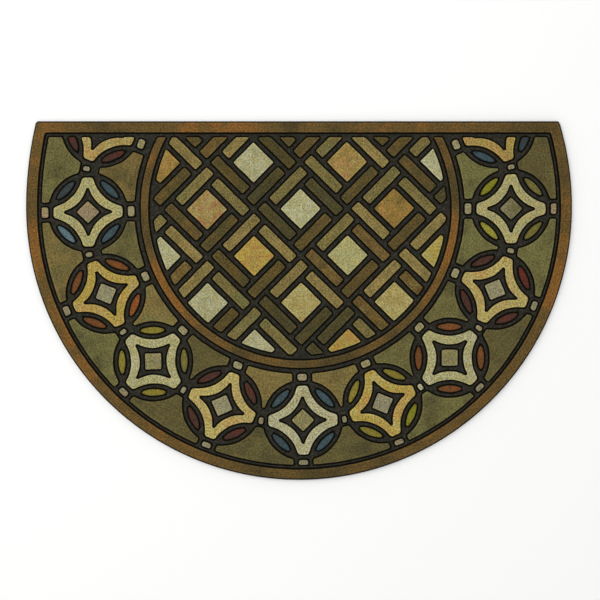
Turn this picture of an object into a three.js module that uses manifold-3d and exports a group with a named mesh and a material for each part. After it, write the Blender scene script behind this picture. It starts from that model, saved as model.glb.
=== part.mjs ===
// Half-round moulded doormat: a polyester felt face, pressed into raised tiles and sunk
// channels, on a rubber backing. Millimetres, +Z up. The origin is the middle of the
// underside, +X runs along the straight edge and +Y points to it.

import * as THREE from 'three';
import { mergeVertices } from 'three/addons/utils/BufferGeometryUtils.js';
import Module from 'manifold-3d';

// Outline of the whole mat
const matWidth = 889;
const matDepth = 584;
const shoulderRadius = { left: 600, right: 475 }; // flatter arcs beside the straight edge

// Thickness, from the floor up
const backingThickness = 4;
const pieceGap = 0.3;
const felt = 1.5; // at the bottom of a channel
const relief = 2.2; // height of the tiles above the channels

// Distances in from the outline
const bareRim = 2; // rubber showing round the felt
const borderInset = 18.8; // inner edge of the border band
const fieldInset = 26.3; // where the tiles begin
const borderDrop = 1.3; // the border's inner edge sits a little low on the mat

// The print is centred a little off the outline's own centre
const printShift = { x: 0.9, y: -3.2 };

// Basket weave in the middle: square tiles, each with four bars set round it as a pinwheel.
// Cells run as far as reach each way, and a cut tile under the smallest area is left out.
const weave = { radius: 238.5, pitch: 107.5, channel: 9.5, barWidth: 16.2, reach: 3, smallest: 130 };
const weaveTurn = -Math.PI / 4;
const halfRingBand = { inner: 246.8, outer: 259.6 };

// Ring of stars in circles round the basket weave
const starRing = { radius: 343.8, inner: 268.4 };
const stars = [ // in order round the ring; a star cut by the straight border has no square in it
  { degrees: 22.5, core: false },
  { degrees: 0, core: true },
  { degrees: -22.5, core: true },
  { degrees: -44.8, core: true },
  { degrees: -66.9, core: true },
  { degrees: -89.1, core: true },
  { degrees: -111.5, core: true },
  { degrees: -133.8, core: true },
  { degrees: -156.3, core: true },
  { degrees: -179.1, core: true },
  { degrees: -202.5, core: false },
];
const star = { reach: 56.2, flankRadius: 61.1, flankCentre: 68.6 };
const starHole = { reach: 39.6, flankRadius: 50.4, flankCentre: 51 };
const starCore = 18.1; // half the diagonal of the square in the star
const petal = { distance: 50.5, halfLength: 20, halfWidth: 5.3 };
const circleRadius = 65.2; // channel circle that the corner panels are cut to
const spokeHalfWidth = 16.2; // clear strip along each star's radial axis
const waist = { inward: 15, outward: 17.5, halfWidth: 12 }; // clear place between two stars
const spokeStud = { start: 64.2, width: 15 };
const waistStud = { width: 7.5, height: 11, outward: 6.3 };

// Steps in each kind of round edge
const steps = { bowl: 60, shoulder: 6, band: 44, weaveEdge: 48, circle: 28, flank: 5, petal: 5 };

const bowlRadius = matWidth / 2;
const bowlY = bowlRadius - matDepth / 2;
const straightEdgeY = matDepth / 2;
const print = new THREE.Vector2(printShift.x, bowlY + printShift.y);
const feltLow = backingThickness + pieceGap;
const channelTop = feltLow + felt;
const tileTop = channelTop + relief;
const tileFoot = feltLow + felt / 2; // tiles are rooted this low, inside the felt

const wasm = await Module();
wasm.setup();

// Points along an arc, both ends included
function arc(x, y, radius, from, to, count) {
  return Array.from({ length: count + 1 }, (_, i) => {
    const angle = from + ((to - from) * i) / count;
    return new THREE.Vector2(x + radius * Math.cos(angle), y + radius * Math.sin(angle));
  });
}

// A full circle's points, the start not repeated
function circle(x, y, radius, count) {
  return arc(x, y, radius, 0, 2 * Math.PI, count).slice(0, -1);
}

function rectangle(xLow, xHigh, yLow, yHigh) {
  return [[xLow, yLow], [xHigh, yLow], [xHigh, yHigh], [xLow, yHigh]]
    .map(([x, y]) => new THREE.Vector2(x, y));
}

// Copies points turned about the origin and then moved to a place
function placed(points, place, turn) {
  const origin = new THREE.Vector2();
  return points.map((p) => p.clone().rotateAround(origin, turn).add(place));
}

// A closed solid from a three.js geometry
function solidOf(geometry) {
  geometry.deleteAttribute('normal');
  geometry.deleteAttribute('uv');
  const merged = mergeVertices(geometry, 1e-4);
  const vertProperties = merged.attributes.position.array;
  const triVerts = merged.index.array;
  return new wasm.Manifold(new wasm.Mesh({ numProp: 3, vertProperties, triVerts }));
}

// An outline raised between two heights
function prism(points, low, high, hole) {
  const shape = new THREE.Shape(points);
  if (hole) shape.holes.push(new THREE.Path(hole));
  const geometry = new THREE.ExtrudeGeometry(shape, { depth: high - low, bevelEnabled: false });
  return solidOf(geometry.translate(0, 0, low));
}

function tile(points, hole) {
  return prism(points, tileFoot, tileTop, hole);
}

function joined(solids) {
  return solids.reduce((whole, next) => whole.add(next));
}

// The mat's outline, moved in by an inset: one straight edge, two shoulders and the bowl
function halfRound(inset, drop = 0) {
  const middle = bowlY - drop;
  const rise = straightEdgeY - inset - middle;
  const across = { left: shoulderRadius.left - bowlRadius, right: bowlRadius - shoulderRadius.right };
  const radius = { left: shoulderRadius.left - inset, right: shoulderRadius.right - inset };
  const sweep = { left: Math.asin(rise / radius.left), right: Math.asin(rise / radius.right) };
  const left = arc(across.left, middle, radius.left, Math.PI - sweep.left, Math.PI, steps.shoulder);
  const bowl = arc(0, middle, bowlRadius - inset, Math.PI, 2 * Math.PI, steps.bowl);
  const right = arc(across.right, middle, radius.right, 0, sweep.right, steps.shoulder);
  return [...left, ...bowl.slice(1, -1), ...right];
}

// A place on the ring of stars, and the turn that points local +X outwards there
function ringPlace(degrees) {
  const turn = THREE.MathUtils.degToRad(degrees);
  const out = new THREE.Vector2(Math.cos(turn), Math.sin(turn)).multiplyScalar(starRing.radius);
  return { place: out.add(print), turn };
}

// The places midway between one star and the next
function waistPlaces() {
  return stars.slice(1).map(({ degrees }, i) => ringPlace((degrees + stars[i].degrees) / 2));
}

// Four-pointed star with hollow flanks and blunt tips, about the origin
function starOutline({ reach, flankRadius, flankCentre }) {
  const rise = flankCentre - Math.sqrt(flankRadius ** 2 - (flankCentre - reach) ** 2);
  const from = Math.atan2(rise - flankCentre, reach - flankCentre);
  const to = Math.atan2(reach - flankCentre, rise - flankCentre);
  const flank = arc(flankCentre, flankCentre, flankRadius, from, to, steps.flank);
  return [0, 1, 2, 3].flatMap((quarter) => placed(flank, new THREE.Vector2(), (quarter * Math.PI) / 2));
}

// Lens of two equal arcs, its length along Y
function petalOutline({ halfLength, halfWidth }) {
  const radius = (halfLength ** 2 + halfWidth ** 2) / (2 * halfWidth);
  const half = Math.asin(halfLength / radius);
  const back = radius - halfWidth;
  const outer = arc(-back, 0, radius, -half, half, steps.petal);
  const inner = arc(back, 0, radius, Math.PI - half, Math.PI + half, steps.petal);
  return [...outer, ...inner.slice(1, -1)];
}

// One star: its frame, the square in its middle, and a petal in each hollow
function starTiles({ degrees, core }) {
  const { place, turn } = ringPlace(degrees);
  const frame = tile(placed(starOutline(star), place, turn), placed(starOutline(starHole), place, turn));
  const square = core ? [tile(placed(circle(0, 0, starCore, 4), place, turn))] : [];
  const petals = [1, 3, 5, 7].map((eighth) => { // between the star's points
    const way = turn + (eighth * Math.PI) / 4;
    const out = new THREE.Vector2(Math.cos(way), Math.sin(way)).multiplyScalar(petal.distance);
    return tile(placed(petalOutline(petal), out.add(place), way));
  });
  return [frame, ...square, ...petals];
}

// Studs on a star's radial axis, running on past the field's edge where they are cut off
function spokeStuds({ degrees }) {
  const { place, turn } = ringPlace(degrees);
  const half = spokeStud.width / 2;
  const inner = rectangle(starRing.inner - starRing.radius, -spokeStud.start, -half, half);
  const outer = rectangle(spokeStud.start, bowlRadius - starRing.radius, -half, half);
  return [inner, outer].map((points) => tile(placed(points, place, turn)));
}

function waistStuds() {
  const low = waistStud.outward - waistStud.height / 2;
  const high = waistStud.outward + waistStud.height / 2;
  const stud = rectangle(low, high, -waistStud.width / 2, waistStud.width / 2);
  return waistPlaces().map(({ place, turn }) => tile(placed(stud, place, turn)));
}

// The ground between stars, left where circles, spokes and waists are cleared from a half ring
function groundPanels() {
  const places = stars.map(({ degrees }) => ringPlace(degrees));
  const from = places.at(-1).turn;
  const to = places[0].turn;
  const outer = arc(print.x, print.y, bowlRadius, from, to, steps.band);
  const inner = arc(print.x, print.y, starRing.inner, to, from, steps.band);
  const ring = circle(0, 0, circleRadius, steps.circle);
  const pastRing = starRing.radius / 2; // a spoke reaches past the half ring at both ends
  const spoke = rectangle(-pastRing, pastRing, -spokeHalfWidth, spokeHalfWidth);
  const block = rectangle(-waist.inward, waist.outward, -waist.halfWidth, waist.halfWidth);
  const cleared = [
    ...places.flatMap(({ place, turn }) => [ring, spoke].map((points) => tile(placed(points, place, turn)))),
    ...waistPlaces().map(({ place, turn }) => tile(placed(block, place, turn))),
  ];
  return tile([...outer, ...inner]).subtract(joined(cleared));
}

// The part of a convex outline on the left of each side of a convex window
function clipped(points, window) {
  return window.reduce((kept, from, side) => {
    const to = window[(side + 1) % window.length];
    const along = to.clone().sub(from);
    const leftOf = (p) => along.cross(p.clone().sub(from));
    return kept.flatMap((p, i) => {
      const next = kept[(i + 1) % kept.length];
      const here = leftOf(p);
      const there = leftOf(next);
      const crossing = here > 0 !== there > 0 ? [p.clone().lerp(next, here / (here - there))] : [];
      return here > 0 ? [p, ...crossing] : crossing;
    });
  }, points);
}

// Squares and bars of the basket weave, cut to its half disc, without the smallest scraps
function weaveTiles() {
  const { pitch, channel, barWidth, reach, radius, smallest } = weave;
  const half = (pitch - 3 * channel - 2 * barWidth) / 2;
  const near = half + channel;
  const far = near + barWidth;
  const cell = [
    rectangle(-half, half, -half, half),
    rectangle(-half, far, near, far),
    rectangle(-far, half, -far, -near),
    rectangle(near, far, -far, half),
    rectangle(-far, -near, -half, far),
  ];
  const disc = circle(print.x, print.y, radius, steps.weaveEdge);
  const farAway = 2 * bowlRadius;
  const belowTop = rectangle(-farAway, farAway, -farAway, straightEdgeY - fieldInset);
  const window = clipped(disc, belowTop);
  const tiles = [];
  for (let column = -reach; column <= reach; column += 1) {
    for (let row = -reach; row <= reach; row += 1) {
      const [place] = placed([new THREE.Vector2(column * pitch, row * pitch)], print, weaveTurn);
      cell.forEach((outline) => {
        const cut = clipped(placed(outline, place, weaveTurn), window);
        if (cut.length > 2 && THREE.ShapeUtils.area(cut) > smallest) tiles.push(tile(cut));
      });
    }
  }
  return tiles;
}

// The felt face: one pressed sheet with its border, half-ring band and every tile
function feltGeometry() {
  const sheet = prism(halfRound(bareRim), feltLow, channelTop);
  const border = tile(halfRound(bareRim), halfRound(borderInset, borderDrop));
  const field = tile(halfRound(fieldInset, borderDrop));
  const band = tile(
    circle(print.x, print.y, halfRingBand.outer, 2 * steps.band),
    circle(print.x, print.y, halfRingBand.inner, 2 * steps.band),
  );
  const starsAndStuds = [...stars.flatMap(starTiles), ...stars.flatMap(spokeStuds), ...waistStuds()];
  const inField = joined([band, groundPanels(), ...starsAndStuds]).intersect(field);
  const { vertProperties, triVerts } = joined([sheet, border, inField, ...weaveTiles()]).getMesh();
  const geometry = new THREE.BufferGeometry();
  geometry.setAttribute('position', new THREE.BufferAttribute(vertProperties, 3));
  geometry.setIndex(new THREE.BufferAttribute(triVerts, 1));
  geometry.computeVertexNormals();
  return geometry;
}

function named(name, geometry, material) {
  const mesh = new THREE.Mesh(geometry, material);
  mesh.name = name;
  return mesh;
}

const rubber = new THREE.MeshStandardMaterial({ color: 0x171614, roughness: 0.78, metalness: 0 });
const brownFelt = new THREE.MeshStandardMaterial({ color: 0x6b5a36, roughness: 0.96, metalness: 0 });

const backingOutline = new THREE.Shape(halfRound(0));
const backing = new THREE.ExtrudeGeometry(backingOutline, { depth: backingThickness, bevelEnabled: false });

const group = new THREE.Group();
group.add(named('rubber_backing', backing, rubber));
group.add(named('felt_face', feltGeometry(), brownFelt));

export default group;
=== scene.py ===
import math

import bpy
import numpy as np
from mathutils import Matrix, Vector
from mathutils.geometry import delaunay_2d_cdt


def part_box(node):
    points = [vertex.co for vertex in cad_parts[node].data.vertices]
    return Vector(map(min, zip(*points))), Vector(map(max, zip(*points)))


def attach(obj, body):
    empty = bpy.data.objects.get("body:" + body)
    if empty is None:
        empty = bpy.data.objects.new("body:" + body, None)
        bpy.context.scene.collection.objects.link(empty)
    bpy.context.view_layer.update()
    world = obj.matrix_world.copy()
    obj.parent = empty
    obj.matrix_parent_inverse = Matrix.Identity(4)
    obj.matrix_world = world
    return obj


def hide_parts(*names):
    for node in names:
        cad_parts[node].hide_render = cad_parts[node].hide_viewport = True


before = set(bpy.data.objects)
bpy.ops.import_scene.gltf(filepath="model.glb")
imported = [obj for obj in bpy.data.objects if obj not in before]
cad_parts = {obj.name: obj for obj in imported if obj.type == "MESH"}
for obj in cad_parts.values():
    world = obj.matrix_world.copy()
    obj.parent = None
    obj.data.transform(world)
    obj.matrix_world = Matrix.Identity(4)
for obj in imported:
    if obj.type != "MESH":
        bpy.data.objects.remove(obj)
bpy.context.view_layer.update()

mm = 0.001
rubberLow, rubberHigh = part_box("rubber_backing")
_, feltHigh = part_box("felt_face")

mat = {
    "width": (rubberHigh.x - rubberLow.x) / mm,
    "depth": (rubberHigh.y - rubberLow.y) / mm,
    "leftShoulder": 600,  # radius of the flatter arc beside the straight edge
    "rightShoulder": 475,
    "cornerBlend": 2.5,  # softens the two corners of the outline
    "bareRim": 2,  # rubber showing round the felt
    "relief": 2.2,  # height of the tiles above the channels
    "printShift": 0.9 - 3.2j,  # the print sits a little off the outline's own centre
    "fieldInset": 26.3,  # where the tiles begin inside the border
    "borderDrop": 1.3,  # the border's inner edge sits a little low on the mat
    "clearance": 5,  # round the mat, where its outlines are looked for
}
bowlRadius = mat["width"] / 2
bowlY = bowlRadius - mat["depth"] / 2
straightY = mat["depth"] / 2
printCentre = mat["printShift"] + 1j * bowlY
channelTop = feltHigh.z / mm - mat["relief"]
backingTop = rubberHigh.z / mm
matLow = -bowlRadius - mat["clearance"] - 1j * (straightY + mat["clearance"])
matHigh = -matLow

# Printed colours, as screen levels from 0 to 255
paints = {
    "cream": (151, 147, 102),
    "dullCream": (143, 138, 98),
    "paleCream": (162, 158, 124),
    "warmCream": (165, 152, 92),
    "gold": (157, 139, 88),
    "amber": (165, 130, 75),
    "pale": (165, 163, 128),
    "paleShade": (152, 147, 106),
    "creamPale": (156, 152, 103),
    "creamGold": (158, 147, 94),
    "goldTan": (147, 127, 73),
    "goldOchre": (156, 137, 66),
    "brownOchre": (128, 106, 55),
    "orangeTan": (154, 116, 62),
    "rose": (152, 108, 74),
    "straw": (160, 144, 72),
    "blue": (60, 78, 83),
    "lightBlue": (88, 108, 115),
    "slate": (54, 61, 62),
    "rust": (104, 67, 37),
    "orangeRust": (127, 75, 38),
    "brick": (98, 45, 34),
    "maroon": (70, 48, 40),
    "lime": (118, 118, 30),
    "limeYellow": (138, 132, 52),
    "mustard": (126, 114, 46),
    "dullMustard": (104, 97, 52),
    "olive": (97, 91, 54),
    "greenOlive": (106, 103, 61),
    "brownOlive": (89, 81, 48),
    "panelOchre": (116, 100, 57),
    "deepOlive": (72, 68, 44),
    "tan": (107, 97, 57),
    "sandyTan": (126, 111, 65),
    "paleSand": (140, 122, 74),
    "umber": (82, 71, 39),
    "darkUmber": (70, 65, 38),
    "redUmber": (98, 78, 42),
    "borderBrown": (95, 76, 41),
    "borderRust": (122, 85, 40),
    "borderDeep": (74, 63, 37),
    "stone": (141, 135, 102),
    "dullStone": (130, 124, 98),
    "pinkStone": (140, 121, 94),
    "taupe": (130, 122, 79),
    "sage": (116, 110, 78),
    "charcoal": (40, 39, 32),
    "soot": (56, 54, 47),
    # Black of the printed outlines, also painted as shade down the tiles' walls and at their foot
    "ink": (10, 8, 3),
    "rubber": (20, 20, 18),
}


def painted(name):
    def linear(level):
        level = level / 255
        return level / 12.92 if level <= 0.04045 else ((level + 0.055) / 1.055) ** 2.4

    return [linear(level) for level in paints[name]] + [1.0]


# Fields: how far points lie outside a shape, below zero inside it


def softMax(first, second, blend):
    overlap = np.maximum(blend - np.abs(first - second), 0)
    return np.maximum(first, second) + overlap ** 2 / (4 * blend)


def within(blend, *fields):
    joined = fields[0]
    for field in fields[1:]:
        joined = softMax(joined, field, blend)
    return joined


def boxField(points, low, high, blend):
    offset = points - (low + high) / 2
    half = (high - low) / 2
    return softMax(np.abs(offset.real) - half.real, np.abs(offset.imag) - half.imag, blend)


# The mat's outline moved in: one straight edge, two shoulders and the bowl
def halfRound(points, inset, drop=0):
    up = points - 1j * (bowlY - drop)
    bowl = np.abs(up) - bowlRadius
    left = np.abs(up - (mat["leftShoulder"] - bowlRadius)) - mat["leftShoulder"]
    right = np.abs(up + (mat["rightShoulder"] - bowlRadius)) - mat["rightShoulder"]
    shoulder = np.where(up.real < 0, left, right)
    side = np.where(up.imag < 0, bowl, shoulder)
    return softMax(side, points.imag - straightY, mat["cornerBlend"]) + inset


def tileGround(points):
    return halfRound(points, mat["fieldInset"], mat["borderDrop"])


def turned(points, place, turn):
    return (points - place) * np.exp(-1j * turn)


def slopeOf(field, points):
    step = 0.05
    across = field(points + step) - field(points - step)
    up = field(points + 1j * step) - field(points - 1j * step)
    return (across + 1j * up) / (2 * step)


# Walks points along a field's slope to one of its levels, in short strides
def toLevel(field, points, level):
    longestStride = 0.5
    leastSlope = 0.35  # so that points don't fly off where the field is nearly flat
    start = field(points)
    strides = 2 + math.ceil(abs(level) / longestStride)
    for stride in range(1, strides + 1):
        wanted = start + (level - start) * stride / strides
        slope = slopeOf(field, points)
        steepness = np.maximum(np.abs(slope), leastSlope)
        points = points + (wanted - field(points)) * slope / steepness ** 2
    return points


# Slow, uneven waves between about -1 and 1, the same on every run
def waves(points, length, seed):
    dice = np.random.default_rng(seed)
    total = np.zeros(len(points))
    for _ in range(6):
        heading = np.exp(2j * math.pi * dice.random()) / (length * dice.uniform(0.6, 1.6))
        total += np.sin(2 * math.pi * ((points * heading).real + dice.random()))
    return total / 3


# Tiles

lumps = {"broad": 26, "broadHeight": 0.12, "fine": 7, "fineHeight": 0.07}


# How uneven the felt stands, in millimetres
def lumpsAt(points):
    broad = waves(points, lumps["broad"], seed=5) * lumps["broadHeight"]
    return broad + waves(points, lumps["fine"], seed=6) * lumps["fineHeight"]


# A tile's section from its lowest ring to its top. Each row holds how far out it lies and how high,
# then how black it is (print, with painted shade down the walls and at their foot), how much painted
# highlight its rim takes (painted shade on petals), whether it is channel felt, and its share of lumps
def sectionOf(rows, base):
    names = ("out", "up", "inkedAndShaded", "rim", "ground", "rise")
    section = [dict(zip(names, row)) for row in rows]
    for row in section:
        row["up"] += base
    return section


# Walls and the channel strip at their foot are blackened, print with painted shade; the top's rim is drawn
# lighter, a painted highlight
raisedSection = sectionOf((
    (3.1, -0.5, 0, 0, 1, 0),
    (3.1, -0.1, 0, 0, 1, 0),
    (2.2, 0.12, 1, 0, 1, 0),
    (0.3, 0.3, 1, 0, 1, 0),
    (0.0, 0.9, 1, 0, 0, 0),
    (-0.15, 1.6, 0.8, 0.3, 0, 0.5),
    (-0.6, 2.0, 0.15, 1, 0, 0.8),
    (-1.4, 2.15, 0, 1, 0, 1),
    (-2.8, 2.2, 0, 0, 0, 1),
), channelTop)


# Fills in what every tile needs
def newTile(field, low, high, **more):
    usual = {
        "grain": lambda points: points,
        "wash": lambda points: np.zeros(len(points)),
        "seed": 0.0,
        "shade": 0.0,
        "tint": "charcoal",
        "blush": "soot",
        "deep": "deepOlive",
        "cell": 1.5,  # of the grid its outline is found on
        "smallest": 60,  # square millimetres of an outline worth keeping
        "narrow": 1,  # share of the section's reach inwards
        "filling": 3,  # between the points inside its top
    }
    return {**usual, "field": field, "low": low, "high": high, **more}


# A little lighter or darker than the tiles around
def unevenShade(seed):
    reach = 0.06
    return np.random.default_rng(round(seed * 10)).uniform(-reach, reach)


# Closed loops where a field is zero, with the inside on their left, found on a square grid
def traceLoops(field, low, high, cell):
    across = np.arange(low.real, high.real + cell, cell)
    up = np.arange(low.imag, high.imag + cell, cell)
    grid = across[None, :] + 1j * up[:, None]
    level = field(grid.ravel()).reshape(grid.shape)
    inside = level < 0
    count = inside[:-1, :-1] * 1 + inside[:-1, 1:] + inside[1:, 1:] + inside[1:, :-1]
    follows = {}
    for row, column in np.argwhere((count > 0) & (count < 4)).tolist():
        ring = [(row, column), (row, column + 1), (row + 1, column + 1), (row + 1, column)]
        crossings = []
        for here, there in zip(ring, ring[1:] + ring[:1]):
            if inside[here] != inside[there]:
                crossings.append((inside[here], (min(here, there), max(here, there))))
        if not crossings[0][0]:  # begin where the cell's edge leaves the shape
            crossings = crossings[1:] + crossings[:1]
        for (_, leaving), (_, entering) in zip(crossings[::2], crossings[1::2]):
            follows[leaving] = entering
    loops = []
    while follows:
        start, after = follows.popitem()
        chain = [start]
        while after != start:
            chain.append(after)
            after = follows.pop(after)
        shares = [level[a] / (level[a] - level[b]) for a, b in chain]
        loops.append(np.array([grid[a] + s * (grid[b] - grid[a]) for (a, b), s in zip(chain, shares)]))
    return loops


def loopArea(loop):
    return (np.conj(loop) * np.roll(loop, -1)).imag.sum() / 2


# Spreads a loop's points evenly and settles them on the field's edge
def evenLoop(field, loop, spacing):
    closed = np.append(loop, loop[0])
    reached = np.append(0, np.cumsum(np.abs(np.diff(closed))))
    count = max(12, round(reached[-1] / spacing))
    wanted = np.arange(count) * reached[-1] / count
    even = np.interp(wanted, reached, closed.real) + 1j * np.interp(wanted, reached, closed.imag)
    return toLevel(field, even, 0)


# Points in a triangular pattern, well inside the level of a shape's last ring
def innerPoints(tile, level):
    spacing = tile["filling"]
    rowStep = 0.866 * spacing
    clearance = 0.55 * spacing
    rows = np.arange(tile["low"].imag, tile["high"].imag, rowStep)
    columns = np.arange(tile["low"].real, tile["high"].real, spacing)
    shift = (np.arange(len(rows)) % 2) * spacing / 2
    points = (columns[None, :] + shift[:, None] + 1j * rows[:, None]).ravel()
    return points[tile["field"](points) < level - clearance]


# What each point carries for its finish
layers = {
    "tint": "FLOAT_COLOR",
    "blush": "FLOAT_COLOR",
    "deep": "FLOAT_COLOR",
    "grain": "FLOAT_VECTOR",  # metres along and across the tile's grain, then its seed
    # print, with painted shade down the walls and at their foot
    "inkedAndShaded": "FLOAT",
    # painted highlight along a tile's rim, painted shade on petals
    "rim": "FLOAT",
    "shade": "FLOAT",
    "wash": "FLOAT",
}


def newBlock():
    return {"points": [], "heights": [], "faces": [], "size": 0, **{name: [] for name in layers}}


# Adds points at one row of a section, and returns the number of the first
def addPoints(block, tile, points, row):
    first = block["size"]
    count = len(points)
    along = tile["grain"](points) * mm
    block["points"].append(points)
    block["heights"].append(row["up"] + row["rise"] * lumpsAt(points))
    block["grain"].append(np.stack([along.real, along.imag, np.full(count, tile["seed"])], 1))
    for name in ("tint", "blush", "deep"):
        paint = "charcoal" if row["ground"] else tile[name]
        block[name].append(np.tile(painted(paint), (count, 1)))
    for name, value in (("inkedAndShaded", row["inkedAndShaded"]), ("rim", row["rim"]), ("shade", tile["shade"])):
        block[name].append(np.full(count, float(value)))
    block["wash"].append(tile["wash"](points))
    block["size"] += count
    return first


# Fills between rings with triangles that also use the loose points; each comes with its first number
def fillBetween(block, rings, loose, flip):
    flat = [Vector((p.real, p.imag)) for ring, _ in rings + loose for p in ring.tolist()]
    numbers = [first + n for ring, first in rings + loose for n in range(len(ring))]
    loops = []
    start = 0
    for ring, _ in rings:
        loops.append(list(range(start, start + len(ring))))
        start += len(ring)
    insideLoops, closeness = 2, 1e-6
    _, _, faces, origins, _, _ = delaunay_2d_cdt(flat, [], loops, insideLoops, closeness)
    source = [numbers[origin[0]] if origin else None for origin in origins]
    for face in faces:
        face = [source[corner] for corner in face]
        if None not in face and len(set(face)) == 3:
            block["faces"].append(face[::-1] if flip else face)


# Makes one closed tile: rings up its section, then a filled top and underside. Its outer loop may
# have a section of its own
def pressTile(block, tile, spacing, section, outerSection=None):
    field = tile["field"]
    tops, bottoms = [], []
    deepest = 0
    for loop in traceLoops(field, tile["low"], tile["high"], tile["cell"]):
        area = loopArea(loop)
        if abs(area) < tile["smallest"]:
            continue
        loop = evenLoop(field, loop, spacing)
        around = np.arange(len(loop))
        after = np.roll(around, -1)
        rings = []
        for row in outerSection if outerSection and area > 0 else section:
            out = row["out"] if row["out"] > 0 else row["out"] * tile["narrow"]
            ring = toLevel(field, loop, out)
            rings.append((ring, addPoints(block, tile, ring, row)))
            deepest = min(deepest, out)
        for (_, lower), (_, upper) in zip(rings, rings[1:]):
            quads = np.stack([lower + around, lower + after, upper + after, upper + around], 1)
            block["faces"].extend(quads.tolist())
        bottoms.append(rings[0])
        tops.append(rings[-1])
    if tops:
        inner = innerPoints(tile, deepest)
        first = addPoints(block, tile, inner, section[-1])
        fillBetween(block, tops, [(inner, first)], False)
        fillBetween(block, bottoms, [], True)


def meshOf(name, block):
    points = np.concatenate(block["points"])
    corners = np.stack([points.real, points.imag, np.concatenate(block["heights"])], 1) * mm
    mesh = bpy.data.meshes.new(name)
    mesh.from_pydata(corners.tolist(), [], block["faces"])
    fields = {"FLOAT_COLOR": "color", "FLOAT_VECTOR": "vector", "FLOAT": "value"}
    for key, kind in layers.items():
        layer = mesh.attributes.new(key, kind, "POINT")
        layer.data.foreach_set(fields[kind], np.concatenate(block[key]).ravel())
    mesh.polygons.foreach_set("use_smooth", [True] * len(mesh.polygons))
    mesh.update()
    return mesh


# Presses tiles into one piece of the mat
def makePiece(name, tiles, spacing, finish, section=raisedSection, outerSection=None):
    block = newBlock()
    for tile in tiles:
        pressTile(block, tile, spacing, section, outerSection)
    mesh = meshOf(name, block)
    mesh.materials.append(finish)
    piece = bpy.data.objects.new(name, mesh)
    bpy.context.scene.collection.objects.link(piece)
    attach(piece, "root")
    triangles = sum(len(face) - 2 for face in block["faces"])
    print(f"{name}: {triangles} triangles")
    return piece


# Finishes


# Wraps a shader socket, so that maths on values reads as a Python expression
class Wire:
    def __init__(self, finish, socket):
        self.finish = finish
        self.socket = socket

    def maths(self, operation, first, second):
        return self.finish.node("Math", {"operation": operation}, {0: first, 1: second})

    def __add__(self, other):
        return self.maths("ADD", self, other)

    def __sub__(self, other):
        return self.maths("SUBTRACT", self, other)

    def __rsub__(self, other):
        return self.maths("SUBTRACT", other, self)

    def __mul__(self, other):
        return self.maths("MULTIPLY", self, other)

    __radd__ = __add__
    __rmul__ = __mul__

    # From 0 to 1 as this value goes from low to high
    def between(self, low, high):
        settings = {"interpolation_type": "SMOOTHSTEP"}
        return self.finish.node("MapRange", settings, {0: self, 1: low, 2: high, 3: 0, 4: 1})


class Finish:
    def __init__(self, name):
        self.material = bpy.data.materials.new(name)
        self.material.use_nodes = True
        self.tree = self.material.node_tree
        self.tree.nodes.clear()

    # Adds a node: its kind, its settings, then its sockets' values or links
    def node(self, kind, settings, sockets, out=0):
        node = self.tree.nodes.new("ShaderNode" + kind)
        for name, value in settings.items():
            setattr(node, name, value)
        for name, value in sockets.items():
            if isinstance(value, Wire):
                self.tree.links.new(value.socket, node.inputs[name])
            else:
                node.inputs[name].default_value = value
        return Wire(self, node.outputs[out]) if len(node.outputs) else None

    def layer(self, name, out="Fac"):
        return self.node("Attribute", {"attribute_name": name}, {}, out)

    def mix(self, share, first, second):
        settings = {"data_type": "RGBA", "clamp_factor": True}
        return self.node("Mix", settings, {0: share, 6: first, 7: second}, 2)

    def times(self, vector, factors):
        return self.node("VectorMath", {"operation": "MULTIPLY"}, {0: vector, 1: factors})

    def brightened(self, colour, share):
        return self.node("VectorMath", {"operation": "SCALE"}, {0: colour, "Scale": share})

    # Noise from 0 to 1 with features of one size, in metres or in the place's own units
    def noise(self, place, size, seed=0, detail=2, roughness=0.5):
        sockets = {"Vector": place, "W": seed, "Scale": 1 / size, "Detail": detail, "Roughness": roughness}
        return self.node("TexNoise", {"noise_dimensions": "4D"}, sockets)

    # Ends the finish in one shader, whose steady values sit on its own sockets
    def close(self, sockets):
        shader = self.node("BsdfPrincipled", {}, sockets)
        self.node("OutputMaterial", {}, {"Surface": shader})
        return self.material


felt = {
    "light": 0.93,
    "patch": 0.034,  # metres across a patch of the second colour
    "patchFrom": 0.44,
    "patchTo": 0.66,
    "blush": 0.8,  # most of the second colour in a patch
    "cloud": 0.07,  # metres across a cloud of the deep colour
    "cloudFrom": 0.48,
    "cloudTo": 0.66,
    "deepShare": 0.15,  # most of the deep colour in a cloud
    "washPull": 0.22,  # how far a listed wash turns a patch or cloud
    "fleck": 0.003,  # warm and cool flecks
    "fleckFrom": 0.36,
    "fleckTo": 0.64,
    "warm": (1.07, 1.0, 0.91),
    "cool": (0.94, 1.0, 1.06),
    "streakLength": 0.04,
    "streakWidth": 0.003,
    "streak": 0.18,  # share of light and dark along the grain
    "threadWidth": 0.0022,
    "thread": 0,  # the same for crossed linen threads
    "clump": 0.0026,
    "clumpDepth": 1.05,
    "fibre": 0.0011,
    "fibreDepth": 0.85,
    "rimLight": (1.16, 1.16, 1.2),  # painted highlight: a tile's rim drawn lighter
    "inkShadeFrom": 0.2,
    "inkShadeTo": 0.8,
    "inkShadeClump": 0.8,  # how far clumps and fibres fray the black outline of print and painted shade
    "inkShadeFibre": 0.7,
    "bump": 0.6,
    "bumpHeight": 0.0007,
    "roughness": 0.95,
    "sheen": 0.02,
    "sheenRoughness": 0.6,
    "specular": 0.04,
}


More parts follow.
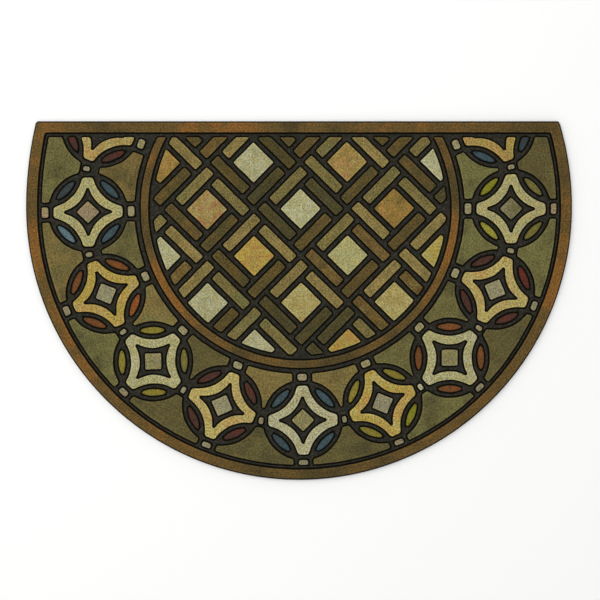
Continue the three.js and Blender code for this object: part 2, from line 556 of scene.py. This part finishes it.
def feltFinish(name, **changes):
    look = {**felt, **changes}
    finish = Finish(name)
    place = finish.node("TexCoord", {}, {}, "Object")
    grain = finish.layer("grain", "Vector")
    seed = finish.node("SeparateXYZ", {}, {0: grain}, 2)
    wash = finish.layer("wash") * look["washPull"]

    # washes of colour
    patches = finish.noise(place, look["patch"], seed, detail=3, roughness=0.55) + wash
    patchShare = patches.between(look["patchFrom"], look["patchTo"]) * look["blush"]
    colour = finish.mix(patchShare, finish.layer("tint", "Color"), finish.layer("blush", "Color"))
    clouds = finish.noise(place, look["cloud"], seed=7) - wash
    deepShare = clouds.between(look["cloudFrom"], look["cloudTo"]) * look["deepShare"]
    colour = finish.mix(deepShare, colour, finish.layer("deep", "Color"))
    flecks = finish.noise(place, look["fleck"], seed=3, roughness=0.6)
    warmShare = flecks.between(look["fleckFrom"], look["fleckTo"])
    colour = finish.mix(warmShare, finish.times(colour, look["cool"]), finish.times(colour, look["warm"]))

    # light and dark of the needled fibres
    drawn = finish.times(grain, (1 / look["streakLength"], 1 / look["streakWidth"], 1))
    streaks = finish.noise(drawn, 1, seed, detail=3, roughness=0.6)
    clumps = finish.noise(place, look["clump"], roughness=0.6)
    fibres = finish.noise(place, look["fibre"], seed=4, detail=3, roughness=0.7)
    light = look["light"] + (streaks - 0.5) * (2 * look["streak"])
    light = light + (clumps - 0.5) * (2 * look["clumpDepth"])
    light = light + (fibres - 0.5) * (2 * look["fibreDepth"])
    if look["thread"]:
        long, fine = 1 / look["streakLength"], 1 / look["threadWidth"]
        for squash in ((long, fine, 1), (fine, long, 1)):
            threads = finish.noise(finish.times(place, squash), 1, seed=1)
            light = light + (threads - 0.5) * (2 * look["thread"])
    colour = finish.brightened(colour, light * (1 + finish.layer("shade")))

    # painted highlight on tile rims (painted shade on petal rims), then black outlines: print with painted
    # shade down the walls
    colour = finish.mix(finish.layer("rim"), colour, finish.times(colour, look["rimLight"]))
    frayed = (clumps - 0.5) * look["inkShadeClump"]
    inkedAndShaded = finish.layer("inkedAndShaded") + frayed + (fibres - 0.5) * look["inkShadeFibre"]
    colour = finish.mix(inkedAndShaded.between(look["inkShadeFrom"], look["inkShadeTo"]), colour, painted("ink"))

    height = fibres * 0.5 + clumps * 0.5
    sockets = {"Strength": look["bump"], "Distance": look["bumpHeight"], "Height": height}
    return finish.close({
        "Base Color": colour,
        "Roughness": look["roughness"],
        "Sheen Weight": look["sheen"],
        "Sheen Roughness": look["sheenRoughness"],
        "Specular IOR Level": look["specular"],
        "Normal": finish.node("Bump", {}, sockets),
    })


# Felt of the two plain bands
bandLook = {
    "patch": 0.03,
    "patchFrom": 0.47,
    "patchTo": 0.76,
    "blush": 1.0,
    "cloud": 0.05,
    "cloudFrom": 0.5,
    "cloudTo": 0.74,
    "deepShare": 0.9,
    "washPull": 0.24,
    "streak": 0.32,
    "clumpDepth": 1.3,
    "fibreDepth": 1.0,
}


# Washes of rust, above zero, and of dark olive, below zero, along a band
def washAlong(run, chart):
    return sum(amount * np.exp(-((run - place) / reach) ** 2) for place, reach, amount in chart)


# Border band

borderBand = {
    "inset": 18.8,  # of its inner edge
    "edgeBlend": 1.2,
    "wobble": 0.12,
    "wobbleLength": 30,
    "spacing": 3,
}

# Its cut outer edge, blackened down its side as print with painted shade, its top's rim drawn lighter as a
# painted highlight
cutSection = sectionOf((
    (0.0, -0.5, 1, 0, 1, 0),
    (0.0, 0.9, 1, 0, 0, 0),
    (-0.2, 1.6, 0.9, 0, 0, 0.4),
    (-0.7, 2.0, 0.6, 0.5, 0, 0.7),
    (-1.4, 2.15, 0.1, 1, 0, 1),
    (-3.2, 2.2, 0, 0, 0, 1),
), channelTop)

# Place along the mat's edge from the middle of the bowl, reach and amount, in millimetres
borderWashes = (
    (-1270, 25, -0.9), (-1155, 60, 1.2), (-975, 30, -0.8), (-910, 20, -0.3), (-870, 22, 0.7),
    (-700, 30, -0.5), (-625, 38, 0.9), (-510, 60, 0.5), (-405, 25, 0.6), (-240, 25, 0.5),
    (-80, 50, -0.8), (30, 80, -1.0), (160, 30, -0.1), (400, 25, -0.3), (480, 25, -0.3),
    (560, 50, 1.2), (635, 30, 0.6), (700, 40, -0.2), (935, 25, -0.6), (1003, 20, -0.3),
    (1068, 30, 0.3), (1140, 35, 0.4), (1225, 20, -0.6), (1265, 12, 0.2),
)


# The run along the mat's edge, zero at the middle of the bowl, and how far in from the edge
def borderGrain(points):
    inset = -halfRound(points, 0)
    up = points - 1j * bowlY
    quarter = bowlRadius * math.pi / 2
    onBowl = np.angle(up * 1j) * bowlRadius
    onSide = np.sign(up.real) * (quarter + up.imag)
    onTop = np.sign(up.real) * (quarter + straightY - bowlY + bowlRadius - np.abs(up.real))
    tolerance = 0.01
    nearTop = straightY - points.imag < inset + tolerance
    return np.where(up.imag < 0, onBowl, np.where(nearTop, onTop, onSide)) + 1j * inset


def borderField(points):
    outside = halfRound(points, mat["bareRim"])
    inside = -halfRound(points, borderBand["inset"], mat["borderDrop"])
    inside = inside + waves(points, borderBand["wobbleLength"], seed=3) * borderBand["wobble"]
    return softMax(outside, inside, borderBand["edgeBlend"])


def makeBorder():
    tile = newTile(
        borderField, matLow, matHigh, cell=3, seed=1.0, tint="borderBrown", blush="borderRust",
        deep="borderDeep", grain=borderGrain,
        wash=lambda points: washAlong(borderGrain(points).real, borderWashes),
    )
    finish = feltFinish("brown border felt", **bandLook)
    return makePiece("border_band", [tile], borderBand["spacing"], finish, outerSection=cutSection)


# Half-ring band

halfRingBand = {
    "inner": 246.6,
    "outer": 258.9,
    "shift": 0.6,  # to the right of the print's centre
    "edgeBlend": 1.2,
    "wobble": 0.12,
    "wobbleLength": 30,
    "spacing": 3,
}

# Degrees round the ring, reach and amount
halfRingWashes = (
    (-201, 5, 0.3), (-190, 6, -0.2), (-173, 9, -0.5), (-147, 10, 1.2), (-125, 6, -0.2),
    (-113, 4, -0.7), (-104, 4, 0.4), (-78, 13, -1.4), (-47, 6, -0.2), (-14, 12, 1.1), (11, 8, -1.2),
)


def ringGrain(points):
    out = points - printCentre
    return np.angle(out * 1j) * halfRingBand["outer"] + 1j * np.abs(out)


def halfRingField(points):
    middle = (halfRingBand["inner"] + halfRingBand["outer"]) / 2
    half = (halfRingBand["outer"] - halfRingBand["inner"]) / 2
    band = np.abs(np.abs(points - printCentre - halfRingBand["shift"]) - middle) - half
    cut = softMax(band, tileGround(points), halfRingBand["edgeBlend"])
    return cut + waves(points, halfRingBand["wobbleLength"], seed=4) * halfRingBand["wobble"]


def makeHalfRing():
    def wash(points):
        degrees = np.degrees(np.angle((points - printCentre) * 1j)) - 90
        return washAlong(degrees, halfRingWashes)

    reach = (halfRingBand["outer"] + mat["clearance"]) * (1 + 1j)
    tile = newTile(
        halfRingField, printCentre - reach, printCentre + reach, cell=2.5, seed=2.0,
        tint="borderBrown", blush="borderRust", deep="borderDeep", grain=ringGrain, wash=wash,
    )
    finish = feltFinish("brown half ring felt", **bandLook)
    return makePiece("half_ring_band", [tile], halfRingBand["spacing"], finish)


# Basket weave

basketWeave = {
    "turn": math.radians(-44.6),
    "shift": 1.6 - 0.3j,  # of the lattice from the print's centre
    "discShift": 0.5,
    "radius": 238,
    "pitch": 107.5,
    "channel": 9.5,
    "barWidth": 16.2,
    "reach": 3,  # cells each way from the middle
    "overhang": 80,  # how far past the disc or the straight edge a cell's middle may lie
    "smallest": 130,  # square millimetres
    "squareBlend": 1.3,
    "barBlend": 2.2,
    "wobble": 0.2,
    "wobbleLength": 22,
    "spacing": 2.2,
}

# Tint, blush and deep colour of the square in each cell, by its column and row in the turned lattice
paleSquare = ("pale", "paleShade", "cream")
squarePaints = {
    (0, 1): ("goldTan", "brownOchre", "rose"), (-1, -1): ("goldTan", "rose", "creamGold"),
    (0, -1): ("goldOchre", "orangeTan", "goldTan"), (1, 1): ("brownOchre", "orangeTan", "umber"),
    (1, 0): ("creamPale", "cream", "creamGold"), (1, -1): ("creamGold", "goldTan", "creamPale"),
    (2, 0): ("creamGold", "goldTan", "creamPale"), (2, 1): ("straw", "creamGold", "goldOchre"),
    (2, -1): ("goldOchre", "goldTan", "orangeTan"), (-2, -1): ("brownOchre", "orangeTan", "goldTan"),
}

# Tint, blush and deep colour of each kind of bar
barPaints = {
    "sandy": ("sandyTan", "paleSand", "tan"),
    "tan": ("tan", "sandyTan", "greenOlive"),
    "russet": ("redUmber", "panelOchre", "umber"),
    "umber": ("umber", "redUmber", "darkUmber"),
    "dark": ("darkUmber", "umber", "deepOlive"),
}

# Kinds of a cell's bars in the order up right, down left, down right, up left, where they differ
# from the usual
usualBars = ("tan", "umber", "umber", "tan")
barCharts = {
    (-2, -1): ("sandy", "umber", "umber", "tan"), (-2, 0): ("tan", "umber", "russet", "tan"),
    (-1, -2): ("sandy", "umber", "russet", "tan"),
    (-1, 0): ("dark", "umber", "dark", "sandy"), (0, -2): ("tan", "umber", "umber", "sandy"),
    (0, -1): ("sandy", "umber", "umber", "sandy"), (0, 0): ("dark", "dark", "umber", "tan"),
    (0, 1): ("sandy", "tan", "umber", "tan"), (1, -1): ("sandy", "dark", "dark", "sandy"),
    (1, 0): ("russet", "russet", "umber", "tan"), (1, 1): ("tan", "sandy", "umber", "tan"),
    (1, 2): ("tan", "umber", "dark", "tan"), (2, -1): ("tan", "dark", "umber", "dark"),
    (2, 0): ("russet", "russet", "umber", "sandy"), (2, 1): ("tan", "sandy", "umber", "sandy"),
}


def weavePlace(column, row):
    steps = (column + 1j * row) * basketWeave["pitch"]
    return printCentre + basketWeave["shift"] + steps * np.exp(1j * basketWeave["turn"])


def weaveTile(column, row, low, high, blend, lengthwise, seed, paint):
    place = weavePlace(column, row)
    turn = basketWeave["turn"]

    def field(points):
        own = boxField(turned(points, place, turn), low, high, blend)
        disc = np.abs(points - printCentre - basketWeave["discShift"]) - basketWeave["radius"]
        top = points.imag - straightY + mat["fieldInset"]
        uneven = waves(points + seed * 37, basketWeave["wobbleLength"], seed=7)
        return within(blend, own, disc, top) + uneven * basketWeave["wobble"]

    def grain(points):
        return turned(points, place, turn) * (1 if lengthwise else 1j)

    corners = np.array([low, high, complex(low.real, high.imag), complex(high.real, low.imag)])
    spread = corners * np.exp(1j * turn) + place
    margin = 4 + 4j
    return newTile(
        field,
        complex(spread.real.min(), spread.imag.min()) - margin,
        complex(spread.real.max(), spread.imag.max()) + margin,
        smallest=basketWeave["smallest"], grain=grain, seed=seed, tint=paint[0], blush=paint[1],
        deep=paint[2], shade=unevenShade(seed),
    )


# A square in each cell, and four bars set round it as a pinwheel
def weaveTiles():
    barWidth, channel = basketWeave["barWidth"], basketWeave["channel"]
    half = (basketWeave["pitch"] - 3 * channel - 2 * barWidth) / 2
    near = half + channel
    far = near + barWidth
    corner = half * (1 + 1j)
    squareBlend, barBlend = basketWeave["squareBlend"], basketWeave["barBlend"]
    farthest = basketWeave["radius"] + basketWeave["overhang"]
    highest = straightY + basketWeave["overhang"]
    squares, bars = [], []
    cells = range(-basketWeave["reach"], basketWeave["reach"] + 1)
    for number, (column, row) in enumerate((c, r) for c in cells for r in cells):
        place = weavePlace(column, row)
        if abs(place - printCentre) > farthest or place.imag > highest:
            continue
        seed = 3 + number * 0.7
        paint = squarePaints.get((column, row), paleSquare)
        squares.append(weaveTile(column, row, -corner, corner, squareBlend, True, seed, paint))
        sides = (
            (-half + 1j * near, far + 1j * far, True),
            (-far - 1j * far, half - 1j * near, True),
            (near - 1j * far, far + 1j * half, False),
            (-far - 1j * half, -near + 1j * far, False),
        )
        for (low, high, lengthwise), kind in zip(sides, barCharts.get((column, row), usualBars)):
            seed += 0.11
            bars.append(weaveTile(column, row, low, high, barBlend, lengthwise, seed, barPaints[kind]))
    return squares, bars


squareLook = {
    "light": 0.955,
    "patch": 0.011,
    "patchFrom": 0.42,
    "patchTo": 0.6,
    "blush": 0.75,
    "cloud": 0.015,
    "deepShare": 0.65,
    "fleck": 0.0033,
    "warm": (1.08, 0.99, 0.88),
    "cool": (0.94, 1.01, 1.03),
    "streak": 0.0,
    "thread": 0.26,
}
barLook = {
    "patch": 0.017,
    "cloud": 0.022,
    "deepShare": 0.7,
    "streak": 0.4,
    "clumpDepth": 1.3,
    "fibreDepth": 1.4,
}


def makeWeave():
    squares, bars = weaveTiles()
    spacing = basketWeave["spacing"]
    return [
        makePiece("weave_squares", squares, spacing, feltFinish("linen square felt", **squareLook)),
        makePiece("weave_bars", bars, spacing, feltFinish("streaked bar felt", **barLook)),
    ]


# Ring of stars

starRing = {"radius": 343.8, "inner": 268.4, "wobble": 0.2, "wobbleLength": 20, "spacing": 2.2}

# Each tile's outline is looked for in a square, and box is half the square's side
starShape = {"reach": 56.2, "flankRadius": 61.1, "flankCentre": 68.6, "tipBlend": 4.5, "box": 60}
starHole = {"reach": 38.8, "flankRadius": 50.4, "flankCentre": 51, "tipBlend": 0.4, "edgeBlend": 0.6}
starCore = {"halfDiagonal": 18.6, "cornerBlend": 1.4, "box": 22}
petal = {"distance": 50.5, "halfLength": 22.4, "halfWidth": 5.6, "tipBlend": 5, "box": 26}
stud = {"narrow": 0.75, "groundBlend": 2, "box": 20}
spokeStud = {"start": 64.6, "width": 15, "axisWidth": 17, "cornerBlend": 3.6, "pastField": 8}
waistStud = {"width": 7.5, "height": 11, "outward": 6.3, "cornerBlend": 3, "palest": 3}
panel = {
    "circle": 65.2,  # radius of the channel round a star's petals
    "spokeHalfWidth": 16.2,
    "waistInward": 15,
    "waistOutward": 17.5,
    "cornerBlend": 1.6,
    "wobbleLength": 26,
    "box": 110,
}

# Each star's place round the ring and out from it, and its colours. Petals are named anticlockwise
# from its outward point
starNames = ("degrees", "out", "frame", "patch", "petals", "core")
starRows = (
    (22.3, 1.1, "goldTan", "goldOchre", ("slate", "blue", "blue", "slate"), None),
    (0, 0, "cream", "creamGold", ("dullMustard", "lime", "limeYellow", "dullMustard"), "sage"),
    (-22.5, 0, "warmCream", "gold", ("brick", "maroon", "maroon", "maroon"), "stone"),
    (-44.8, 0, "cream", "paleCream", ("rust", "rust", "rust", "rust"), "taupe"),
    (-66.9, 0, "goldOchre", "warmCream", ("lime", "mustard", "mustard", "mustard"), "dullStone"),
    (-89.1, 0, "paleCream", "pale", ("blue", "blue", "blue", "blue"), "taupe"),
    (-111.5, 0, "warmCream", "gold", ("maroon", "maroon", "maroon", "maroon"), "stone"),
    (-133.8, 0, "cream", "paleCream", ("mustard", "dullMustard", "mustard", "mustard"), "taupe"),
    (-156.3, 0, "goldOchre", "gold", ("rust", "orangeRust", "rust", "rust"), "stone"),
    (-179.1, 0, "cream", "creamGold", ("lightBlue", "blue", "blue", "slate"), "pinkStone"),
    (-202.2, 4.5, "goldTan", "creamGold", ("maroon", "maroon", "brick", "maroon"), None),
)
stars = [dict(zip(starNames, row)) for row in starRows]
petalBlush = {
    "slate": "blue", "blue": "slate", "lightBlue": "blue", "rust": "orangeRust",
    "orangeRust": "rust", "brick": "maroon", "maroon": "brick", "lime": "limeYellow",
    "limeYellow": "lime", "mustard": "limeYellow", "dullMustard": "mustard",
}
coreBlush = {
    "stone": "dullStone", "dullStone": "stone", "pinkStone": "taupe", "taupe": "sage", "sage": "olive",
}


def ringPlace(degrees, out=0):
    turn = math.radians(degrees)
    return printCentre + (starRing["radius"] + out) * np.exp(1j * turn), turn


def placeOf(star):
    return ringPlace(star["degrees"], star["out"])


def waistPlace(first, second):
    return ringPlace((first["degrees"] + second["degrees"]) / 2, (first["out"] + second["out"]) / 2)


# Seeds of tiles of one kind, set a step apart round the ring
def ringSeed(start, number):
    return start + number * 1.3


def starField(points, shape):
    folded = np.abs(points.real) + 1j * np.abs(points.imag)
    flank = shape["flankRadius"] - np.abs(folded - shape["flankCentre"] * (1 + 1j))
    bluntness = 1
    tips = softMax(folded.real, folded.imag, bluntness) - shape["reach"]
    return softMax(flank, tips, shape["tipBlend"])


def frameField(points):
    return softMax(starField(points, starShape), -starField(points, starHole), starHole["edgeBlend"])


def coreField(points):
    corner = starCore["halfDiagonal"] * math.sqrt(0.5) * (1 + 1j)
    return boxField(points * np.exp(0.25j * math.pi), -corner, corner, starCore["cornerBlend"])


def petalField(points):
    length, width = petal["halfLength"], petal["halfWidth"]
    radius = (length ** 2 + width ** 2) / (2 * width)
    back = radius - width
    return softMax(np.abs(points + back) - radius, np.abs(points - back) - radius, petal["tipBlend"])


# A tile in the ring: its own field about a place, cut to the tiles' ground
def ringTile(ownField, place, turn, box, seed, tint, blush, groundBlend=3, **more):
    def field(points):
        cut = softMax(ownField(turned(points, place, turn)), tileGround(points), groundBlend)
        uneven = waves(points + seed * 41, starRing["wobbleLength"], seed=9)
        return cut + uneven * starRing["wobble"]

    corner = box * (1 + 1j)
    return newTile(
        field, place - corner, place + corner, grain=lambda points: turned(points, place, turn),
        seed=seed, tint=tint, blush=blush, shade=unevenShade(seed), **more,
    )


def starFrames():
    for number, star in enumerate(stars):
        place, turn = placeOf(star)
        seed = ringSeed(60, number)
        tint, blush = star["frame"], star["patch"]
        deep = "dullCream" if tint in ("cream", "paleCream") else "amber"
        yield ringTile(frameField, place, turn, starShape["box"], seed, tint, blush, deep=deep)


def starCores():
    for number, star in enumerate(stars):
        if star["core"]:
            place, turn = placeOf(star)
            seed = ringSeed(80, number)
            tint, blush = star["core"], coreBlush[star["core"]]
            yield ringTile(coreField, place, turn, starCore["box"], seed, tint, blush, deep="dullStone")


def starPetals():
    for number, star in enumerate(stars):
        place, turn = placeOf(star)
        for quarter, tint in enumerate(star["petals"]):
            way = turn + (2 * quarter + 1) * math.pi / 4
            middle = place + petal["distance"] * np.exp(1j * way)
            seed = ringSeed(100, number) + quarter * 0.21
            blush = petalBlush[tint]
            yield ringTile(petalField, middle, way, petal["box"], seed, tint, blush, cell=1.2, narrow=0.8)


# A stud between two corners, given from a place in the ring
def studTile(place, turn, low, high, blend, seed, tint, **more):
    middle = (low + high) / 2

    def own(points):
        return boxField(points, low - middle, high - middle, blend)

    place = place + middle * np.exp(1j * turn)
    return ringTile(
        own, place, turn, stud["box"], seed, tint, "taupe", groundBlend=stud["groundBlend"],
        narrow=stud["narrow"], deep="pinkStone", **more,
    )


def spokeStuds():
    start = spokeStud["start"]
    inward = starRing["radius"] - starRing["inner"]
    outward = bowlRadius - mat["fieldInset"] - starRing["radius"] + spokeStud["pastField"]
    blend = spokeStud["cornerBlend"]
    for number, star in enumerate(stars):
        place, turn = placeOf(star)
        seed = ringSeed(130, number)
        onAxis = abs(math.cos(turn)) > 0.99  # at the left and right ends of the ring
        half = spokeStud["axisWidth" if onAxis else "width"] * 0.5j
        outerTint = "pinkStone" if onAxis else "dullStone"
        yield studTile(place, turn, -inward - half, -start + half, blend, seed, "stone", cell=1)
        yield studTile(place, turn, start - half, outward + half, blend, seed + 0.4, outerTint, cell=1)


def waistStuds():
    reach = (waistStud["height"] + 1j * waistStud["width"]) / 2
    low, high = waistStud["outward"] - reach, waistStud["outward"] + reach
    blend = waistStud["cornerBlend"]
    for number, (first, second) in enumerate(zip(stars, stars[1:])):
        place, turn = waistPlace(first, second)
        seed = ringSeed(160, number)
        tint = "pale" if number == waistStud["palest"] else "dullStone"
        yield studTile(place, turn, low, high, blend, seed, tint, cell=0.8, smallest=30)


# Tint, blush and shade of the inner and outer panel after each star
panelKinds = {
    "green": ("greenOlive", "olive", 0),
    "plain": ("olive", "greenOlive", 0),
    "brown": ("brownOlive", "olive", 0),
    "russet": ("panelOchre", "brownOlive", -0.12),
    "ochre": ("panelOchre", "olive", 0),
    "bright": ("panelOchre", "greenOlive", 0.06),
}
panelChart = (
    ("green", "brown"), ("green", "green"), ("plain", "brown"), ("plain", "green"), ("bright", "brown"),
    ("bright", "brown"), ("brown", "brown"), ("bright", "green"), ("plain", "ochre"), ("russet", "plain"),
)


# The ground between two stars, on the outer or inner side of the waist
def groundPanel(first, second, outer, seed, kind):
    one, turnOne = placeOf(first)
    two, turnTwo = placeOf(second)
    middle, turn = waistPlace(first, second)
    tint, blush, shade = panelKinds[kind]

    def field(points):
        waist = turned(points, middle, turn).real
        joined = within(
            panel["cornerBlend"],
            panel["circle"] - np.abs(points - one),
            panel["circle"] - np.abs(points - two),
            turned(points, one, turnOne).imag + panel["spokeHalfWidth"],
            panel["spokeHalfWidth"] - turned(points, two, turnTwo).imag,
            panel["waistOutward"] - waist if outer else waist + panel["waistInward"],
            starRing["inner"] - np.abs(points - printCentre),
            tileGround(points),
        )
        uneven = waves(points + seed * 43, panel["wobbleLength"], seed=11)
        return joined + uneven * starRing["wobble"]

    corner = panel["box"] * (1 + 1j)
    return newTile(
        field, middle - corner, middle + corner, cell=2, seed=seed,
        grain=lambda points: turned(points, middle, turn) * 1j,
        tint=tint, blush=blush, shade=shade,
    )


def groundPanels():
    for number, (first, second) in enumerate(zip(stars, stars[1:])):
        for outer in (False, True):
            seed = 180 + number * 1.7 + outer * 0.6
            yield groundPanel(first, second, outer, seed, panelChart[number][outer])


frameLook = {
    "light": 0.98,
    "patch": 0.018,
    "blush": 0.85,
    "cloud": 0.022,
    "deepShare": 0.6,
    "fleck": 0.0036,
    "warm": (1.08, 0.99, 0.86),
    "cool": (0.95, 1.0, 1.06),
    "streak": 0.06,
    "clumpDepth": 1.5,
    "fibreDepth": 1.1,
}
coreLook = {"patch": 0.012, "cloud": 0.014, "deepShare": 0.4, "streak": 0.05, "clumpDepth": 1.3}
# Petals' rims drawn darker: painted shade
petalLook = {"patch": 0.014, "blush": 0.5, "deepShare": 0, "streak": 0.24, "rimLight": (0.84, 0.85, 0.87)}
studLook = {"patch": 0.01, "cloud": 0.012, "deepShare": 0.4, "streak": 0.04, "clumpDepth": 1.3}
groundLook = {
    "patch": 0.026,
    "cloud": 0.04,
    "cloudFrom": 0.48,
    "cloudTo": 0.72,
    "deepShare": 0.75,
    "streak": 0.34,
    "fibreDepth": 1.3,
}


def makeRing():
    spacing = starRing["spacing"]
    studs = [*spokeStuds(), *waistStuds()]
    return [
        makePiece("star_frames", starFrames(), spacing, feltFinish("cream star felt", **frameLook)),
        makePiece("star_cores", starCores(), spacing, feltFinish("stone core felt", **coreLook)),
        makePiece("star_petals", starPetals(), spacing, feltFinish("petal felt", **petalLook)),
        makePiece("ring_studs", studs, spacing, feltFinish("stone stud felt", **studLook)),
        makePiece("ground_panels", groundPanels(), spacing, feltFinish("olive ground felt", **groundLook)),
    ]


# Felt under the tiles, seen in the channels

channelSheet = {
    "inset": 2.05,
    "lift": 0.03,  # above the rubber backing
    "rise": 0.35,  # its share of lumps
    "spacing": 6,
}
channelLook = {
    "light": 1.0,
    "patch": 0.006,
    "blush": 0.7,
    "deepShare": 0,
    "fleck": 0.005,
    "warm": (1.16, 0.95, 0.86),
    "cool": (0.85, 1.02, 1.12),
    "streak": 0,
    "clumpDepth": 1.4,
}


def makeChannelSheet():
    bottom = backingTop - channelTop + channelSheet["lift"]
    section = sectionOf((
        (0, bottom, 0, 0, 1, 0),
        (0, 0, 0, 0, 1, 0),
        (-3, 0, 0, 0, 0, channelSheet["rise"]),
    ), channelTop)
    tile = newTile(lambda points: halfRound(points, channelSheet["inset"]), matLow, matHigh, cell=6)
    finish = feltFinish("charcoal channel felt", **channelLook)
    return makePiece("channel_sheet", [tile], channelSheet["spacing"], finish, section)


# Rubber backing

backing = {
    "spacing": 4,
    "filling": 20,
    "crumbs": 420,  # in a metre
    "crumbLight": 0.5,
    "grain": 0.0012,
    "grainLight": 0.5,
    "light": 0.8,
    "roughness": 0.62,
    "grainRoughness": 0.3,
    "specular": 0.25,
    "bump": 0.6,
    "bumpHeight": 0.0005,
}


def rubberFinish():
    finish = Finish("black crumb rubber")
    place = finish.node("TexCoord", {}, {}, "Object")
    sockets = {"Vector": place, "Scale": backing["crumbs"]}
    crumbs = finish.node("TexVoronoi", {"feature": "F1"}, sockets, "Distance")
    grain = finish.noise(place, backing["grain"], seed=3, roughness=0.6)
    light = backing["light"] + (grain - 0.5) * backing["grainLight"] + crumbs * backing["crumbLight"]
    height = crumbs * 0.7 + grain * 0.3
    sockets = {"Strength": backing["bump"], "Distance": backing["bumpHeight"], "Height": height}
    return finish.close({
        "Base Color": finish.brightened(painted("rubber")[:3], light),
        "Roughness": backing["roughness"] + (grain - 0.5) * backing["grainRoughness"],
        "Specular IOR Level": backing["specular"],
        "Normal": finish.node("Bump", {}, sockets),
    })


def makeRubber():
    section = sectionOf((
        (-1.2, 0, 0, 0, 0, 0),
        (-0.35, 0.25, 0, 0, 0, 0),
        (0, 0.9, 0, 0, 0, 0),
        (0, backingTop - 1, 0, 0, 0, 0),
        (-0.3, backingTop - 0.3, 0, 0, 0, 0),
        (-1.1, backingTop, 0, 0, 0, 0),
    ), 0)
    filling, spacing = backing["filling"], backing["spacing"]
    tile = newTile(lambda points: halfRound(points, 0), matLow, matHigh, cell=6, filling=filling)
    finish = rubberFinish()
    return makePiece("rubber_backing_moulded", [tile], spacing, finish, section)


# Studio: the camera looks straight down, as in the photograph

studio = {
    "cameraPlace": (0.0016, 0.0009, 2.31),
    "cameraReach": 50,
    "lens": 85,
    "floorSize": 12,
    "floorColour": (0.93, 0.93, 0.92, 1),
    "floorRoughness": 0.8,
    "skyStrength": 0.82,
    "keyEnergy": 34,
    "keySize": 2.4,
    "keyPlace": (-1.3, 1.1, 2.4),
}


def makeStudio():
    scene = bpy.context.scene
    scene.view_settings.view_transform = "Standard"
    view = bpy.data.cameras.new("camera")
    view.lens = studio["lens"]
    view.clip_end = studio["cameraReach"]
    camera = bpy.data.objects.new("camera", view)
    camera.location = studio["cameraPlace"]
    scene.collection.objects.link(camera)
    scene.camera = camera

    world = bpy.data.worlds.new("studio")
    world.use_nodes = True
    sky = world.node_tree.nodes["Background"]
    sky.inputs["Color"].default_value = (1, 1, 1, 1)
    sky.inputs["Strength"].default_value = studio["skyStrength"]
    scene.world = world

    light = bpy.data.lights.new("key", "AREA")
    light.size = studio["keySize"]
    light.energy = studio["keyEnergy"]
    key = bpy.data.objects.new("key", light)
    key.location = studio["keyPlace"]
    key.rotation_euler = (-Vector(studio["keyPlace"])).to_track_quat("-Z", "Y").to_euler()
    scene.collection.objects.link(key)

    half = studio["floorSize"] / 2
    corners = [(-half, -half, 0), (half, -half, 0), (half, half, 0), (-half, half, 0)]
    mesh = bpy.data.meshes.new("floor")
    mesh.from_pydata(corners, [], [(0, 1, 2, 3)])
    sockets = {"Base Color": studio["floorColour"], "Roughness": studio["floorRoughness"]}
    mesh.materials.append(Finish("pale floor").close(sockets))
    floor = bpy.data.objects.new("floor", mesh)
    scene.collection.objects.link(floor)


makeStudio()
print("studio ready")
feltPieces = [makeBorder(), makeHalfRing(), *makeWeave(), *makeRing()]
sheet = makeChannelSheet()
rubber = makeRubber()
for piece in [sheet, *feltPieces]:
    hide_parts("felt_face")
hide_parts("rubber_backing")
flatArea = (math.pi * bowlRadius ** 2 / 2 + 2 * bowlRadius * (straightY - bowlY)) * mm ** 2
print("mat ready")
